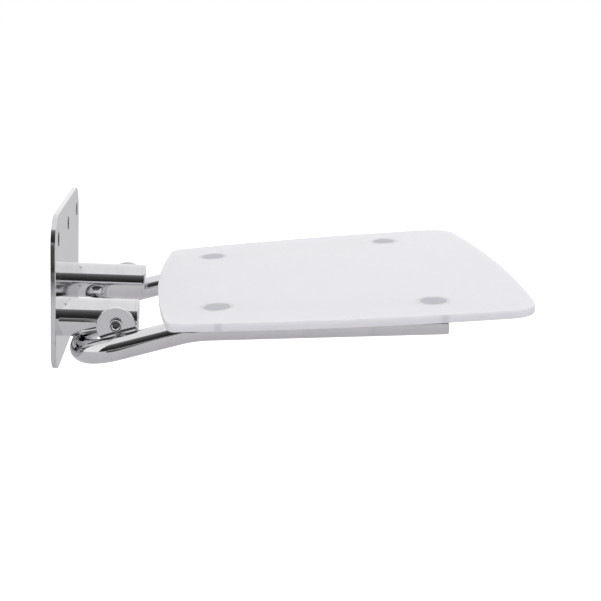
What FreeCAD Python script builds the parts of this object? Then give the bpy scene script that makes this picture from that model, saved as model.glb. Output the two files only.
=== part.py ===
import FreeCAD, Part
import math
import os

import Sketcher

# A wall-mounted folding shower seat. A thick steel wall plate carries two short arms. A bent
# tube frame swings on two ears beside the arms and rests with its cross tube under them. Its
# rails carry an acrylic seat panel on four round-headed studs.
# Frame: +Z up, +X to the right when facing the wall, and the wall is the plane Y = 0. The
# origin is the centre of the wall plate's back face, and the seat reaches out along -Y.

SIZES = (
    # wall plate
    ("plate_width", 220.0),
    ("plate_height", 160.0),
    ("plate_thick", 5.0),
    ("plate_corner", 28.0),
    ("plate_edge", 0.8),
    ("wall_hole_dia", 9.0),
    ("wall_hole_sink_dia", 14.0),
    ("wall_hole_spacing", 85.0),
    ("wall_hole_margin", 25.0),
    # arms, welded square to the plate
    ("arm_spacing", 155.0),
    ("arm_drop", 27.0),
    ("arm_dia", 40.0),
    ("arm_wall", 2.0),
    ("arm_reach", 80.0),
    ("arm_cap_thick", 3.0),
    ("cap_spigot", 4.0),
    ("edge_bevel", 0.6),
    # pivot: a tapped boss in each arm, a shoulder screw and a flanged bush in each ear
    ("pivot_reach", 58.5),
    ("boss_dia", 20.0),
    ("boss_length", 18.0),
    ("boss_stand", 0.5),
    ("thread_dia", 8.0),
    ("thread_length", 14.0),
    ("shoulder_dia", 10.0),
    ("head_dia", 13.0),
    ("head_height", 4.5),
    ("socket_width", 6.0),
    ("socket_depth", 3.0),
    ("bush_wall", 1.0),
    ("flange_dia", 18.0),
    ("flange_thick", 0.8),
    ("ear_dia", 39.5),
    ("ear_thick", 4.0),
    ("ear_drop", 2.0),
    ("ear_foot_width", 28.0),
    # seat frame, one bent tube
    ("tube_dia", 25.0),
    ("tube_wall", 2.0),
    ("cross_reach", 22.5),
    ("corner_radius", 39.0),
    ("leg_angle", 16.5),
    ("leg_run", 118.0),
    ("knee_radius", 140.0),
    ("rail_rise", 5.6),
    ("rail_splay", 7.6),
    ("rail_run", 253.0),
    ("rail_cap_thick", 2.0),
    # seat panel
    ("seat_width", 388.0),
    ("seat_depth", 378.5),
    ("seat_thick", 8.5),
    ("seat_behind_knee", 36.5),
    ("seat_widest_from_front", 52.0),
    ("seat_side_radius", 1660.0),
    ("seat_rear_radius", 1050.0),
    ("seat_front_radius", 1500.0),
    ("seat_rear_corner", 18.0),
    ("seat_front_corner", 28.0),
    ("seat_edge", 0.5),
    # seat fixings
    ("stud_setback", 25.0),
    ("stud_span", 213.5),
    ("stud_head_dia", 24.0),
    ("stud_head_thick", 2.5),
    ("stud_dia", 8.0),
    ("sleeve_wall", 2.0),
    ("saddle_dia", 22.0),
    ("saddle_crest", 1.4),
    ("insert_dia", 12.0),
    ("insert_length", 14.0),
    # named clearances
    ("run_fit", 0.05),
    ("set_fit", 0.02),
    ("thrust_gap", 0.1),
    ("stop_gap", 0.5),
    ("leg_side_gap", 0.8),
    ("head_recess_gap", 0.2),
)

UP = FreeCAD.Vector(0, 0, 1)
RIGHT = FreeCAD.Vector(1, 0, 0)
OUT = FreeCAD.Vector(0, -1, 0)
SIDES = (("left", -1), ("right", 1))

doc = FreeCAD.newDocument("folding_seat")
sheet = doc.addObject("Spreadsheet::Sheet", "sizes")
for row, (alias, number) in enumerate(SIZES, start=1):
    sheet.set(f"A{row}", alias)
    sheet.set(f"B{row}", str(number))
    sheet.setAlias(f"B{row}", alias)
doc.recompute()

kept = []


def size(alias):
    """The number in the sheet that has this alias, in millimetres or degrees."""
    return float(sheet.get(alias))


def keep(item, label):
    """Name a finished sub-part, so that it is checked and exported under its label."""
    item.Label = label
    kept.append(item)
    return item


def aim(point, direction):
    """The placement that puts a local origin at a point and the local Z axis along a direction."""
    return FreeCAD.Placement(point, FreeCAD.Rotation(UP, direction))


def origin_plane(body, role):
    """The plane of a body's own origin that has this role, such as XY_Plane."""
    return next(plane for plane in body.Origin.OriginFeatures if plane.Role == role)


def new_sketch(body, name, role):
    """An empty sketch on one of a body's origin planes."""
    sketch = body.newObject("Sketcher::SketchObject", name)
    sketch.AttachmentSupport = [(origin_plane(body, role), "")]
    sketch.MapMode = "FlatFace"
    return sketch


def pin_point(sketch, geometry, end, across, along):
    """Hold one sketch point at two distances from the origin, each an expression."""
    for kind, expression in (("DistanceX", across), ("DistanceY", along)):
        index = sketch.addConstraint(Sketcher.Constraint(kind, geometry, end, 1.0))
        sketch.setExpression(f"Constraints[{index}]", expression)


def turned_part(name, corners):
    """A body turned about its Z axis from a closed profile of (radius, height) expressions."""
    body = doc.addObject("PartDesign::Body", name)
    sketch = new_sketch(body, name + "_profile", "XZ_Plane")
    count = len(corners)
    start = [FreeCAD.Vector(10 + math.cos(turn), 10 + math.sin(turn), 0)
             for turn in (2 * math.pi * step / count for step in range(count))]
    for step in range(count):
        sketch.addGeometry(Part.LineSegment(start[step], start[(step + 1) % count]), False)
    for step in range(count):
        sketch.addConstraint(Sketcher.Constraint("Coincident", step, 2, (step + 1) % count, 1))
    for step, (radius, height) in enumerate(corners):
        pin_point(sketch, step, 1, radius, height)
    turning = body.newObject("PartDesign::Revolution", name + "_turned")
    turning.Profile = sketch
    turning.ReferenceAxis = (sketch, ["V_Axis"])
    turning.Angle = 360
    return body


def rod(name, radius, length, point, direction):
    """A cylinder whose radius and length are expressions, from a point along a direction."""
    cylinder = doc.addObject("Part::Cylinder", name)
    cylinder.setExpression("Radius", radius)
    cylinder.setExpression("Height", length)
    cylinder.Placement = aim(point, direction)
    return cylinder


def cut(name, base, tool):
    """The base with the tool taken away."""
    result = doc.addObject("Part::Cut", name)
    result.Base = base
    result.Tool = tool
    return result


def fuse(name, shapes):
    """Several shapes joined in one."""
    result = doc.addObject("Part::MultiFuse", name)
    result.Shapes = shapes
    return result


# Places that several pieces share.
arm_z = -size("arm_drop")
arm_x = size("arm_spacing") / 2
plate_front = -size("plate_thick")
pivot = FreeCAD.Vector(0, plate_front - size("pivot_reach"), arm_z)
boss_face = arm_x + size("arm_dia") / 2 + size("boss_stand")
ear_inner = boss_face + size("thrust_gap") + size("flange_thick")
leg_x = arm_x + (size("arm_dia") + size("tube_dia")) / 2 + size("leg_side_gap")
cross_y = plate_front - size("cross_reach")
cross_z = arm_z - (size("arm_dia") + size("tube_dia")) / 2 - size("stop_gap")
leg_tilt = math.radians(size("leg_angle"))
leg_way = FreeCAD.Vector(0, -math.cos(leg_tilt), math.sin(leg_tilt))
knee = FreeCAD.Vector(0, cross_y, cross_z) + leg_way * size("leg_run")
rise = math.radians(size("rail_rise"))
splay = math.radians(size("rail_splay"))
seat_out = FreeCAD.Vector(0, -math.cos(rise), math.sin(rise))
seat_up = FreeCAD.Vector(0, math.sin(rise), math.cos(rise))


def rail_way(side):
    """The unit direction of a rail, away from the wall."""
    way = FreeCAD.Vector(side * math.tan(splay), -1, math.tan(rise))
    return way.normalize()


def rail_point(side, depth):
    """The point of a rail's centre line at a depth from the knee, measured along the seat."""
    step = depth * math.cos(rise)
    sideways = side * (leg_x + math.tan(splay) * step)
    return knee + seat_out * depth + RIGHT * sideways


# Wall plate: flat bar with round corners and countersunk holes, three in a row above the arms
# and one between them near the lower edge.
plate = doc.addObject("PartDesign::Body", "plate_body")
plate_sketch = new_sketch(plate, "plate_outline", "XZ_Plane")
half_wide = size("plate_width") / 2
half_high = size("plate_height") / 2
plate_corners = ((-1, -1), (1, -1), (1, 1), (-1, 1))
for step in range(4):
    here = plate_corners[step]
    there = plate_corners[(step + 1) % 4]
    plate_sketch.addGeometry(Part.LineSegment(
        FreeCAD.Vector(here[0] * half_wide, here[1] * half_high, 0),
        FreeCAD.Vector(there[0] * half_wide, there[1] * half_high, 0)), False)
for step in range(4):
    plate_sketch.addConstraint(Sketcher.Constraint("Coincident", step, 2, (step + 1) % 4, 1))
for step, (across, along) in enumerate(plate_corners):
    pin_point(plate_sketch, step, 1, f"{across} * sizes.plate_width / 2",
              f"{along} * sizes.plate_height / 2")
plate_pad = plate.newObject("PartDesign::Pad", "plate_pad")
plate_pad.Profile = plate_sketch
plate_pad.setExpression("Length", "sizes.plate_thick")
doc.recompute()
# The pad has to grow from the wall towards the seat, along -Y.
if plate_pad.Shape.BoundBox.YMax > size("plate_thick") / 2:
    plate_pad.Reversed = True
    doc.recompute()


def edges_along(shape, direction):
    """The names of a shape's straight edges that run along a direction."""
    names = []
    for number, edge in enumerate(shape.Edges, start=1):
        line = edge.Vertexes[-1].Point - edge.Vertexes[0].Point
        if line.Length > 1e-6 and line.cross(direction).Length < 1e-6 * line.Length:
            names.append(f"Edge{number}")
    return names


plate_round = plate.newObject("PartDesign::Fillet", "plate_round")
plate_round.Base = (plate_pad, edges_along(plate_pad.Shape, OUT))
plate_round.setExpression("Radius", "sizes.plate_corner")
doc.recompute()
front_rim = [f"Edge{number}" for number, edge in enumerate(plate_round.Shape.Edges, start=1)
             if abs(edge.BoundBox.YMin - plate_front) < 1e-6
             and abs(edge.BoundBox.YMax - plate_front) < 1e-6]
plate_soft = plate.newObject("PartDesign::Fillet", "plate_soft")
plate_soft.Base = (plate_round, front_rim)
plate_soft.setExpression("Radius", "sizes.plate_edge")
doc.recompute()
hole_row_z = half_high - size("wall_hole_margin")
hole_places = [FreeCAD.Vector(column * size("wall_hole_spacing"), 0, hole_row_z)
               for column in (-1, 0, 1)]
hole_places.append(FreeCAD.Vector(0, 0, -hole_row_z))
hole_tools = []
for number, place in enumerate(hole_places, start=1):
    drill = rod(f"wall_drill_{number}", "sizes.wall_hole_dia / 2", "sizes.plate_thick",
                place, OUT)
    sink = doc.addObject("Part::Cone", f"wall_sink_{number}")
    sink.setExpression("Radius1", "sizes.wall_hole_dia / 2")
    sink.setExpression("Radius2", "sizes.wall_hole_sink_dia / 2")
    sink.setExpression("Height", "(sizes.wall_hole_sink_dia - sizes.wall_hole_dia) / 2")
    sink_depth = (size("wall_hole_sink_dia") - size("wall_hole_dia")) / 2
    sink.Placement = aim(place + OUT * (size("plate_thick") - sink_depth), OUT)
    hole_tools += [drill, sink]
keep(cut("plate_drilled", plate, fuse("wall_hole_tools", hole_tools)), "wall_plate")

# Seat frame: one tube bent to a U. The cross tube lies under the arms, the legs climb past the
# arms' sides, and after the knees the rails spread and rise at the seat's own angle.


def rounded_path(points, radii):
    """A wire through points, with a tangent arc of the given radius at each inner one."""
    edges = []
    at = points[0]
    for before, corner, after, radius in zip(points, points[1:], points[2:], radii):
        come = (corner - before).normalize()
        go = (after - corner).normalize()
        half_turn = come.getAngle(go) / 2
        reach = radius * math.tan(half_turn)
        first = corner - come * reach
        last = corner + go * reach
        inward = (go - come).normalize()
        middle = corner + inward * (radius / math.cos(half_turn) - radius)
        edges.append(Part.LineSegment(at, first).toShape())
        edges.append(Part.Arc(first, middle, last).toShape())
        at = last
    edges.append(Part.LineSegment(at, points[-1]).toShape())
    return Part.Wire(edges)


frame_points = []
for _, side in reversed(SIDES):
    corner = FreeCAD.Vector(side * leg_x, cross_y, cross_z)
    knee_point = FreeCAD.Vector(side * leg_x, knee.y, knee.z)
    rail_end = knee_point + rail_way(side) * size("rail_run")
    arm_points = [rail_end, knee_point, corner]
    frame_points += arm_points if side > 0 else arm_points[::-1]
frame_radii = [size("knee_radius"), size("corner_radius"), size("corner_radius"),
               size("knee_radius")]
frame_wire = rounded_path(frame_points, frame_radii)
frame_path = doc.addObject("Part::Feature", "frame_path")
frame_path.Shape = frame_wire


def swept_tube(name, radius):
    """A round bar along the frame's path, its radius an expression."""
    ring = doc.addObject("Part::Circle", name + "_ring")
    ring.setExpression("Radius", radius)
    ring.Placement = aim(frame_points[0], rail_way(1) * -1)
    bar = doc.addObject("Part::Sweep", name)
    bar.Sections = [ring]
    bar.Spine = (frame_path, [f"Edge{number + 1}" for number in range(len(frame_wire.Edges))])
    bar.Solid = True
    bar.Frenet = False
    return bar


tube_skin = swept_tube("tube_skin", "sizes.tube_dia / 2")
tube_bore = swept_tube("tube_bore", "sizes.tube_dia / 2 - sizes.tube_wall")
stud_places = []
for row_name, depth in (("rear", size("stud_setback")),
                        ("front", size("stud_setback") + size("stud_span"))):
    for side_name, side in SIDES:
        stud_places.append((f"{row_name}_{side_name}", rail_point(side, depth)))
insert_holes = [rod(f"insert_hole_{place_name}", "sizes.insert_dia / 2 + sizes.set_fit",
                    "sizes.tube_dia / 2 + 1", place, seat_up)
                for place_name, place in stud_places]
frame_hollow = cut("frame_hollow", tube_skin, tube_bore)
frame_node = keep(cut("frame_drilled", frame_hollow, fuse("insert_holes", insert_holes)),
                  "frame_tube")

# Rail caps: turned plugs that close the open ends of the rails.
for side_name, side in SIDES:
    cap = turned_part(f"rail_cap_{side_name}_body", (
        ("0", "-sizes.cap_spigot"),
        ("sizes.tube_dia / 2 - sizes.tube_wall - sizes.set_fit", "-sizes.cap_spigot"),
        ("sizes.tube_dia / 2 - sizes.tube_wall - sizes.set_fit", "0"),
        ("sizes.tube_dia / 2", "0"),
        ("sizes.tube_dia / 2", "sizes.rail_cap_thick - sizes.edge_bevel"),
        ("sizes.tube_dia / 2 - sizes.edge_bevel", "sizes.rail_cap_thick"),
        ("0", "sizes.rail_cap_thick")))
    knee_point = FreeCAD.Vector(side * leg_x, knee.y, knee.z)
    cap.Placement = aim(knee_point + rail_way(side) * size("rail_run"), rail_way(side))
    keep(cap, f"rail_cap_{side_name}")

# Arms, their end caps, the tapped pivot bosses and the shoulder screws.
for side_name, side in SIDES:
    outward = RIGHT * side
    root = FreeCAD.Vector(side * arm_x, plate_front, arm_z)
    arm_end = root + OUT * (size("arm_reach") - size("arm_cap_thick"))
    arm_length = "sizes.arm_reach - sizes.arm_cap_thick"
    skin = rod(f"arm_skin_{side_name}", "sizes.arm_dia / 2", arm_length, root, OUT)
    bore = rod(f"arm_bore_{side_name}", "sizes.arm_dia / 2 - sizes.arm_wall", arm_length,
               root, OUT)
    side_hole = rod(f"arm_side_hole_{side_name}", "sizes.boss_dia / 2 + sizes.set_fit",
                    "sizes.arm_dia", FreeCAD.Vector(side * arm_x, pivot.y, pivot.z), outward)
    arm = cut(f"arm_{side_name}", skin, fuse(f"arm_tools_{side_name}", [bore, side_hole]))
    keep(arm, f"arm_tube_{side_name}")

    cap = turned_part(f"arm_cap_{side_name}_body", (
        ("0", "-sizes.cap_spigot"),
        ("sizes.arm_dia / 2 - sizes.arm_wall - sizes.set_fit", "-sizes.cap_spigot"),
        ("sizes.arm_dia / 2 - sizes.arm_wall - sizes.set_fit", "0"),
        ("sizes.arm_dia / 2", "0"),
        ("sizes.arm_dia / 2", "sizes.arm_cap_thick - sizes.edge_bevel"),
        ("sizes.arm_dia / 2 - sizes.edge_bevel", "sizes.arm_cap_thick"),
        ("0", "sizes.arm_cap_thick")))
    cap.Placement = aim(arm_end, OUT)
    keep(cap, f"arm_cap_{side_name}")

    boss = turned_part(f"pivot_boss_{side_name}_body", (
        ("sizes.thread_dia / 2 + sizes.run_fit", "-sizes.boss_length"),
        ("sizes.boss_dia / 2", "-sizes.boss_length"),
        ("sizes.boss_dia / 2", "0"),
        ("sizes.thread_dia / 2 + sizes.run_fit", "0")))
    boss_centre = FreeCAD.Vector(side * boss_face, pivot.y, pivot.z)
    boss.Placement = aim(boss_centre, outward)
    keep(boss, f"pivot_boss_{side_name}")

    shoulder = "(sizes.flange_thick + sizes.ear_thick + 2 * sizes.thrust_gap)"
    screw = turned_part(f"pivot_screw_{side_name}_body", (
        ("0", "-sizes.thread_length"),
        ("sizes.thread_dia / 2 - sizes.edge_bevel", "-sizes.thread_length"),
        ("sizes.thread_dia / 2", "-sizes.thread_length + sizes.edge_bevel"),
        ("sizes.thread_dia / 2", "0"),
        ("sizes.shoulder_dia / 2", "0"),
        ("sizes.shoulder_dia / 2", shoulder),
        ("sizes.head_dia / 2", shoulder),
        ("sizes.head_dia / 2", shoulder + " + sizes.head_height - sizes.edge_bevel"),
        ("sizes.head_dia / 2 - sizes.edge_bevel", shoulder + " + sizes.head_height"),
        ("0", shoulder + " + sizes.head_height")))
    screw.Placement = aim(boss_centre, outward)
    shoulder_length = size("flange_thick") + size("ear_thick") + 2 * size("thrust_gap")
    socket = doc.addObject("Part::Prism", f"socket_{side_name}")
    socket.Polygon = 6
    socket.setExpression("Circumradius", "sizes.socket_width / sqrt(3)")
    socket.setExpression("Height", "sizes.socket_depth")
    socket_floor = shoulder_length + size("head_height") - size("socket_depth")
    socket.Placement = aim(boss_centre + outward * socket_floor, outward)
    keep(cut(f"screw_{side_name}", screw, socket), f"pivot_screw_{side_name}")

# Ears: round plates on edge, welded to the inner flank of each leg and cut to the tube, each
# with its eye a little above its middle. A flanged bush in each ear runs on the screw's
# shoulder, with its flange against the boss.
for side_name, side in SIDES:
    outward = RIGHT * side
    ear_face = FreeCAD.Vector(side * ear_inner, pivot.y, pivot.z)
    ear_centre = ear_face - UP * size("ear_drop")
    disc = rod(f"ear_disc_{side_name}", "sizes.ear_dia / 2", "sizes.ear_thick", ear_centre,
               outward)
    foot = doc.addObject("Part::Box", f"ear_foot_{side_name}")
    foot.setExpression("Length", "sizes.ear_thick")
    foot.setExpression("Width", "sizes.ear_foot_width")
    leg_drop = (cross_y - pivot.y) * math.tan(leg_tilt) + cross_z - pivot.z
    foot.Height = -leg_drop * math.cos(leg_tilt)
    leg_turn = FreeCAD.Rotation(RIGHT, -size("leg_angle"))
    foot_low = leg_turn.multVec(FreeCAD.Vector(0, -size("ear_foot_width") / 2, -foot.Height.Value))
    foot_x = min(side * ear_inner, side * (ear_inner + size("ear_thick")))
    foot.Placement = FreeCAD.Placement(
        FreeCAD.Vector(foot_x, pivot.y, pivot.z) + foot_low, leg_turn)
    eye = rod(f"ear_eye_{side_name}",
              "sizes.shoulder_dia / 2 + sizes.run_fit + sizes.bush_wall + sizes.set_fit",
              "sizes.ear_thick", ear_face, outward)
    ear_blank = fuse(f"ear_blank_{side_name}", [disc, foot])
    ear_bored = cut(f"ear_bored_{side_name}", ear_blank, eye)
    keep(cut(f"ear_{side_name}", ear_bored, tube_skin), f"hinge_ear_{side_name}")

    sleeve_in = "sizes.shoulder_dia / 2 + sizes.run_fit"
    sleeve_out = "sizes.shoulder_dia / 2 + sizes.run_fit + sizes.bush_wall"
    bush = turned_part(f"hinge_bush_{side_name}_body", (
        (sleeve_in, "-sizes.flange_thick"),
        ("sizes.flange_dia / 2", "-sizes.flange_thick"),
        ("sizes.flange_dia / 2", "0"),
        (sleeve_out, "0"),
        (sleeve_out, "sizes.ear_thick"),
        (sleeve_in, "sizes.ear_thick")))
    bush.Placement = aim(ear_face, outward)
    keep(bush, f"hinge_bush_{side_name}")

# Seat panel: clear-cast acrylic sheet, wider at the front, every side a long gentle arc. Its
# local Z axis is the seat's upward normal and its local Y axis points back towards the wall.
half_seat = size("seat_width") / 2
rear_y = size("seat_behind_knee")
front_y = rear_y - size("seat_depth")
widest_y = front_y + size("seat_widest_from_front")
side_radius = size("seat_side_radius")
rear_radius = size("seat_rear_radius")
front_radius = size("seat_front_radius")


def side_x(along):
    """Half the panel's width at a place along its depth."""
    return half_seat - side_radius + math.sqrt(side_radius ** 2 - (along - widest_y) ** 2)


def meet(edge_y, inward):
    """The point where the side arc meets the rear or front arc, found by stepping between them."""
    across = half_seat
    along = edge_y
    for _ in range(30):
        radius = rear_radius if inward < 0 else front_radius
        along = edge_y + inward * (radius - math.sqrt(radius ** 2 - across ** 2))
        across = side_x(along)
    return FreeCAD.Vector(across, along, 0)


rear_meet = meet(rear_y, -1)
front_meet = meet(front_y, 1)


def mirrored(point):
    """The same point on the other side of the seat's middle."""
    return FreeCAD.Vector(-point.x, point.y, point.z)


panel = doc.addObject("PartDesign::Body", "panel_body")
panel_sketch = new_sketch(panel, "panel_outline", "XY_Plane")
rear_arc = Part.Arc(rear_meet, FreeCAD.Vector(0, rear_y, 0), mirrored(rear_meet))
left_arc = Part.Arc(mirrored(rear_meet), FreeCAD.Vector(-half_seat, widest_y, 0),
                    mirrored(front_meet))
front_arc = Part.Arc(mirrored(front_meet), FreeCAD.Vector(0, front_y, 0), front_meet)
right_arc = Part.Arc(front_meet, FreeCAD.Vector(half_seat, widest_y, 0), rear_meet)
for arc in (rear_arc, left_arc, front_arc, right_arc):
    panel_sketch.addGeometry(arc, False)
panel_pad = panel.newObject("PartDesign::Pad", "panel_pad")
panel_pad.Profile = panel_sketch
panel_pad.setExpression("Length", "sizes.seat_thick")
doc.recompute()
for corner_name, corner_y in (("rear", rear_meet.y), ("front", front_meet.y)):
    base = panel.Tip
    corner_edges = [name for name in edges_along(base.Shape, UP)
                    if abs(base.Shape.getElement(name).CenterOfMass.y - corner_y) < 0.01]
    corner_round = panel.newObject("PartDesign::Fillet", f"panel_corner_{corner_name}")
    corner_round.Base = (base, corner_edges)
    corner_round.setExpression("Radius", f"sizes.seat_{corner_name}_corner")
    panel.Tip = corner_round
    doc.recompute()
rim_base = panel.Tip
rim_edges = [f"Edge{number}" for number, edge in enumerate(rim_base.Shape.Edges, start=1)
             if edge.BoundBox.ZLength < 1e-6]
panel_rim = panel.newObject("PartDesign::Fillet", "panel_rim")
panel_rim.Base = (rim_base, rim_edges)
panel_rim.setExpression("Radius", "sizes.seat_edge")
panel.Tip = panel_rim
panel_under = size("tube_dia") / 2 + size("saddle_crest")
seat_turn = FreeCAD.Rotation(RIGHT, -size("rail_rise"))
panel.Placement = FreeCAD.Placement(knee + seat_up * panel_under, seat_turn)
panel_tools = []
for place_name, place in stud_places:
    panel_tools.append(rod(
        f"panel_hole_{place_name}",
        "sizes.stud_dia / 2 + sizes.run_fit + sizes.sleeve_wall + sizes.set_fit",
        "sizes.seat_thick", place + seat_up * panel_under, seat_up))
    recess_floor = panel_under + size("seat_thick") - size("stud_head_thick")
    panel_tools.append(rod(
        f"panel_recess_{place_name}", "sizes.stud_head_dia / 2 + sizes.head_recess_gap",
        "sizes.stud_head_thick + 1", place + seat_up * recess_floor, seat_up))
keep(cut("panel_drilled", panel, fuse("panel_tools", panel_tools)), "seat_panel")

# Seat fixings: a round-headed stud through the panel, a soft saddle with a sleeve that keeps
# the stud off the acrylic, and a threaded insert in the rail.
for place_name, place in stud_places:
    panel_top = panel_under + size("seat_thick")
    stud = turned_part(f"stud_{place_name}_body", (
        ("0", "-(sizes.seat_thick + sizes.saddle_crest + sizes.insert_length)"),
        ("sizes.stud_dia / 2", "-(sizes.seat_thick + sizes.saddle_crest + sizes.insert_length)"),
        ("sizes.stud_dia / 2", "-sizes.stud_head_thick"),
        ("sizes.stud_head_dia / 2", "-sizes.stud_head_thick"),
        ("sizes.stud_head_dia / 2", "-sizes.edge_bevel / 2"),
        ("sizes.stud_head_dia / 2 - sizes.edge_bevel / 2", "0"),
        ("0", "0")))
    stud.Placement = aim(place + seat_up * panel_top, seat_up)
    keep(stud, f"seat_stud_{place_name}")

    stem_hole = "sizes.stud_dia / 2 + sizes.run_fit"
    saddle_depth = "(sizes.tube_dia / 2 - sqrt((sizes.tube_dia / 2) ^ 2 - (sizes.saddle_dia / 2) ^ 2))"
    saddle = turned_part(f"saddle_{place_name}_body", (
        (stem_hole, "-sizes.saddle_crest - " + saddle_depth),
        ("sizes.saddle_dia / 2", "-sizes.saddle_crest - " + saddle_depth),
        ("sizes.saddle_dia / 2", "0"),
        (stem_hole + " + sizes.sleeve_wall", "0"),
        (stem_hole + " + sizes.sleeve_wall", "sizes.seat_thick - sizes.stud_head_thick"),
        (stem_hole, "sizes.seat_thick - sizes.stud_head_thick")))
    saddle.Placement = aim(place + seat_up * panel_under, seat_up)
    keep(cut(f"saddle_{place_name}", saddle, tube_skin), f"seat_saddle_{place_name}")

    insert = turned_part(f"insert_{place_name}_body", (
        ("sizes.stud_dia / 2 + sizes.run_fit", "-sizes.insert_length"),
        ("sizes.insert_dia / 2", "-sizes.insert_length"),
        ("sizes.insert_dia / 2", "0"),
        ("sizes.stud_dia / 2 + sizes.run_fit", "0")))
    insert_top = math.sqrt((size("tube_dia") / 2) ** 2 - (size("insert_dia") / 2) ** 2)
    insert.Placement = aim(place + seat_up * insert_top, seat_up)
    keep(insert, f"rail_insert_{place_name}")

doc.recompute()
for item in doc.Objects:
    if "Invalid" in item.State or "Error" in item.State:
        raise RuntimeError(f"{item.Name} did not build: {item.State}")
for item in kept:
    if item.Shape.isNull() or not item.Shape.isValid():
        raise RuntimeError(f"{item.Label} is not a valid solid")

tube_section = math.pi * size("tube_wall") * (size("tube_dia") - size("tube_wall"))
swept_volume = frame_hollow.Shape.Volume
path_volume = tube_section * frame_wire.Length
print(f"frame tube volume {swept_volume:.0f} mm3, section times length {path_volume:.0f} mm3")

os.makedirs("parts", exist_ok=True)
for item in kept:
    item.Shape.exportStep(f"parts/{item.Label}.step")
    print(f"{item.Label}: {len(item.Shape.Solids)} solid, {item.Shape.Volume:.0f} mm3")
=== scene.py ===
import math

import bmesh
import bpy
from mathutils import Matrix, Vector


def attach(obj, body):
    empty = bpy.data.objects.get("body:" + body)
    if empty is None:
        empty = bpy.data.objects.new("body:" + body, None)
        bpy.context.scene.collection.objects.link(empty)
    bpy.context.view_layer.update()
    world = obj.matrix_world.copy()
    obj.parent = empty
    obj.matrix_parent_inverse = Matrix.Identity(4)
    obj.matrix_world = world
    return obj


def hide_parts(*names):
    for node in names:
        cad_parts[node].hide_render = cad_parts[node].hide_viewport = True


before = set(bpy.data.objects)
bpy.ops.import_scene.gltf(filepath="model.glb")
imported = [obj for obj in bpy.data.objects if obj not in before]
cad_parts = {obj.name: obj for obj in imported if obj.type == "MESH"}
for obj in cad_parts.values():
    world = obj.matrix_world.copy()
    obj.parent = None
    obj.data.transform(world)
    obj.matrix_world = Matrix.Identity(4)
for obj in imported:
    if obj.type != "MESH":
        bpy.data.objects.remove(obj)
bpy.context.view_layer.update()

# Wall plate. A flat bar of stainless steel, 5 mm thick, cut with round corners, drilled and
# countersunk for four wall screws, then polished all over with its front edge eased. It is the
# only piece that touches the wall, and the arms are welded to it.


def only(piece):
    """Leaves one piece selected and active."""
    if bpy.context.object and bpy.context.object.mode == "EDIT":
        bpy.ops.object.mode_set(mode="OBJECT")
    bpy.ops.object.select_all(action="DESELECT")
    piece.select_set(True)
    bpy.context.view_layer.objects.active = piece


def added(name):
    """Names the piece that an operator has just added."""
    piece = bpy.context.active_object
    piece.name = name
    piece.data.name = name
    return piece


def clear():
    """Leaves nothing selected, so that an operator acts on the new piece alone."""
    bpy.ops.object.select_all(action="DESELECT")


def settle(piece):
    """Moves a piece's place, turn and size into its mesh."""
    only(piece)
    bpy.ops.object.transform_apply(location=True, rotation=True, scale=True)


def edges_where(piece, wanted):
    """In edit mode, selects the edges whose two ends both pass a test."""
    bpy.ops.mesh.select_mode(type="EDGE")
    bpy.ops.mesh.select_all(action="DESELECT")
    shape = bmesh.from_edit_mesh(piece.data)
    for edge in shape.edges:
        edge.select_set(wanted(edge.verts[0].co, edge.verts[1].co))
    bmesh.update_edit_mesh(piece.data)


def ease(piece, wanted, width, steps):
    """Rounds the edges that pass a test."""
    only(piece)
    bpy.ops.object.mode_set(mode="EDIT")
    edges_where(piece, wanted)
    bpy.ops.mesh.bevel(offset=width, segments=steps, affect="EDGES")
    bpy.ops.object.mode_set(mode="OBJECT")


def work(piece, kind, **settings):
    """Adds a modifier, sets it and applies it."""
    only(piece)
    modifier = piece.modifiers.new(kind.lower(), kind)
    for name, value in settings.items():
        setattr(modifier, name, value)
    bpy.ops.object.modifier_apply(modifier=modifier.name)


def cut_away(piece, tool):
    """Takes a tool's shape out of a piece and removes the tool."""
    work(piece, "BOOLEAN", operation="DIFFERENCE", solver="EXACT", object=tool)
    bpy.data.objects.remove(tool)


def turned(name, profile, steps=96, hollow=False):
    """Turns a piece on Z from (radius, height) pairs: a disc pulled up and resized step by step.
    A hollow one starts and ends on its inner wall."""
    radius, height = profile[0]
    clear()
    bpy.ops.mesh.primitive_circle_add(vertices=steps, radius=radius, location=(0, 0, height),
                                      fill_type="NOTHING" if hollow else "NGON")
    piece = added(name)
    bpy.ops.object.mode_set(mode="EDIT")
    bpy.ops.mesh.select_all(action="SELECT")
    rounds = profile[1:] + (profile[:1] if hollow else [])
    for wider, higher in rounds:
        bpy.ops.mesh.extrude_region_move(
            TRANSFORM_OT_translate={"value": (0, 0, higher - height)})
        bpy.ops.transform.resize(value=(wider / radius, wider / radius, 1),
                                 center_override=(0, 0, higher))
        radius, height = wider, higher
    bpy.ops.mesh.select_all(action="SELECT")
    bpy.ops.mesh.remove_doubles(threshold=1e-6)
    bpy.ops.mesh.normals_make_consistent(inside=False)
    bpy.ops.object.mode_set(mode="OBJECT")
    settle(piece)
    return piece


def stand(piece, place, way):
    """Puts a turned piece's foot at a place with its axis along a direction."""
    piece.rotation_mode = "QUATERNION"
    piece.rotation_quaternion = Vector(way).to_track_quat("Z", "Y")
    piece.location = place
    settle(piece)
    piece.rotation_mode = "XYZ"
    return piece


def smooth(piece, angle=35):
    """Smooth faces with crisp edges, and flat faces that stay flat beside an eased edge."""
    only(piece)
    bpy.ops.object.shade_smooth_by_angle(angle=math.radians(angle))
    work(piece, "WEIGHTED_NORMAL", keep_sharp=True, weight=80)


def fit(piece, body, node, finish):
    """Gives a piece its finish, its body and the plain part it stands for."""
    piece.data.materials.clear()
    piece.data.materials.append(finish)
    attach(piece, body)
    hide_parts(node)


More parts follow.
